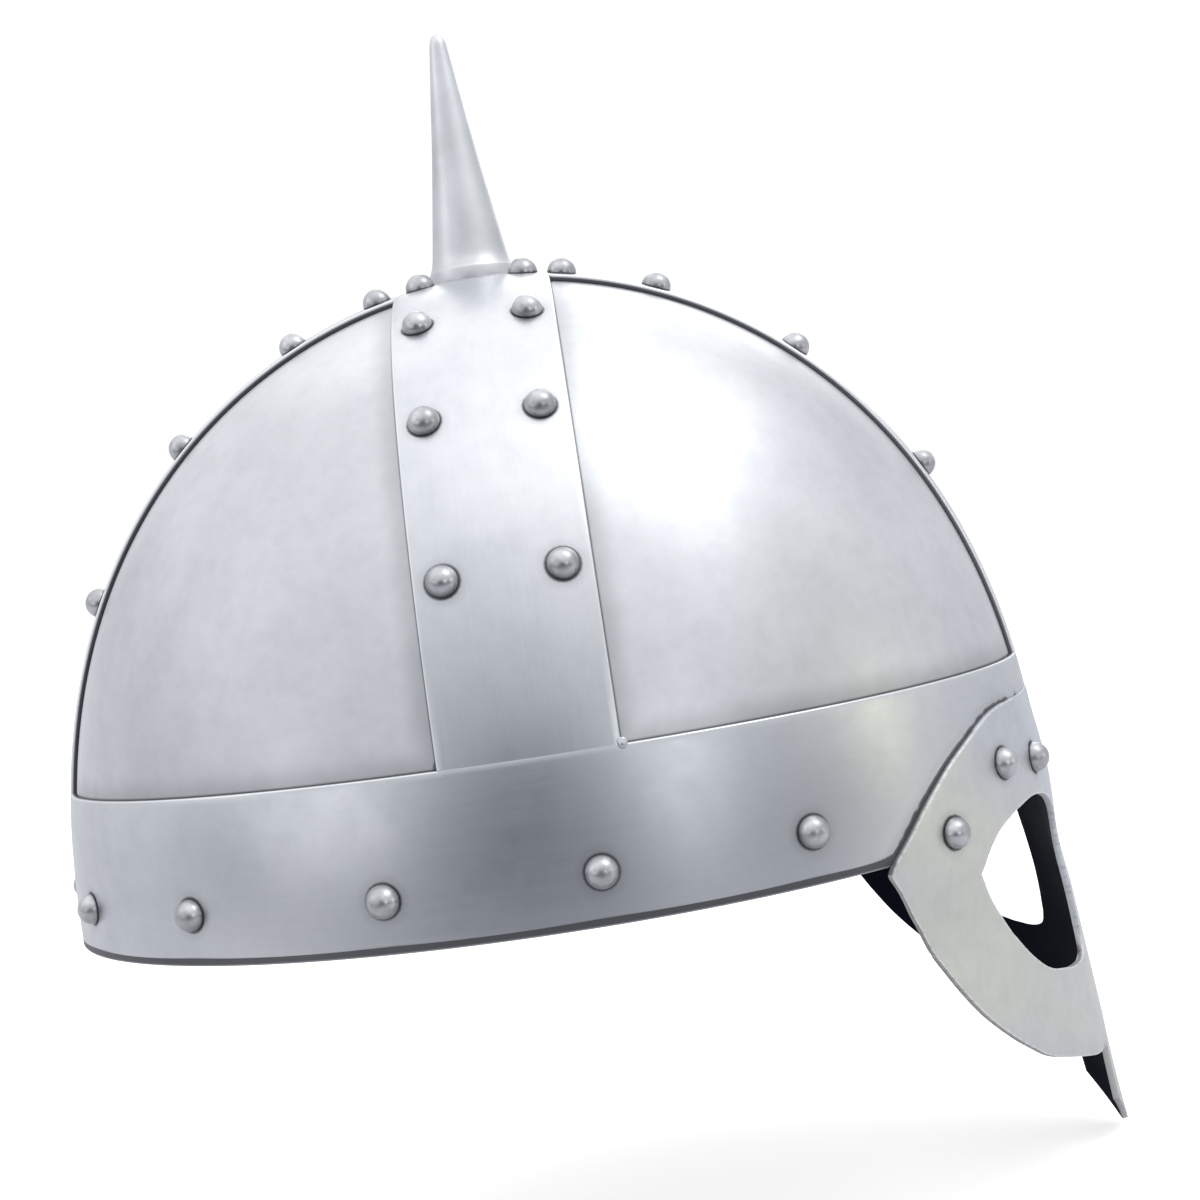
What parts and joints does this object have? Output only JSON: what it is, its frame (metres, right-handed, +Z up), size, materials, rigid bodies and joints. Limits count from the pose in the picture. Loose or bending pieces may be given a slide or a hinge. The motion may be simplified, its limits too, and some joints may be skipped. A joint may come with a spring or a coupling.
{
  "type": "knight helmet",
  "caption": "Open-faced riveted iron helmet: banded bowl with plates, brow band, spectacle guard with nasal, crown spike and leather liner.",
  "frame": {"origin": "centre of the flat rim of the brow band, in the rim plane", "axes": "+Z up through the crown spike, -Y the way the face looks, +X the wearer's left"},
  "size_m": [0.2168, 0.2692, 0.312],
  "materials": {
    "band_steel": "satin, lightly brushed",
    "panel_steel": "satin, lightly brushed",
    "guard_steel": "satin outside, black paint inside",
    "spike_steel": "satin",
    "rivet_steel": "polished heads",
    "zinc_hardware": "plain",
    "liner_leather": "natural, matte"
  },
  "bodies": {
    "root": {"brow_band": "band_steel", "crest_band": "band_steel", "side_band_right": "band_steel", "side_band_left": "band_steel", "panel_front_right": "panel_steel", "panel_front_left": "panel_steel", "panel_rear_right": "panel_steel", "panel_rear_left": "panel_steel", "spectacle_guard": "guard_steel", "crown_spike": "spike_steel", "crown_washer": "zinc_hardware", "crown_nut": "zinc_hardware", "rivets_crown": "rivet_steel", "rivets_crest_front": "rivet_steel", "rivets_crest_rear": "rivet_steel", "rivets_side_right": "rivet_steel", "rivets_side_left": "rivet_steel", "rivets_brow": "rivet_steel", "rivets_guard": "rivet_steel", "liner_band": "liner_leather", "liner_tongues": "liner_leather", "liner_crown_ring": "liner_leather"}
  },
  "joints": []
}
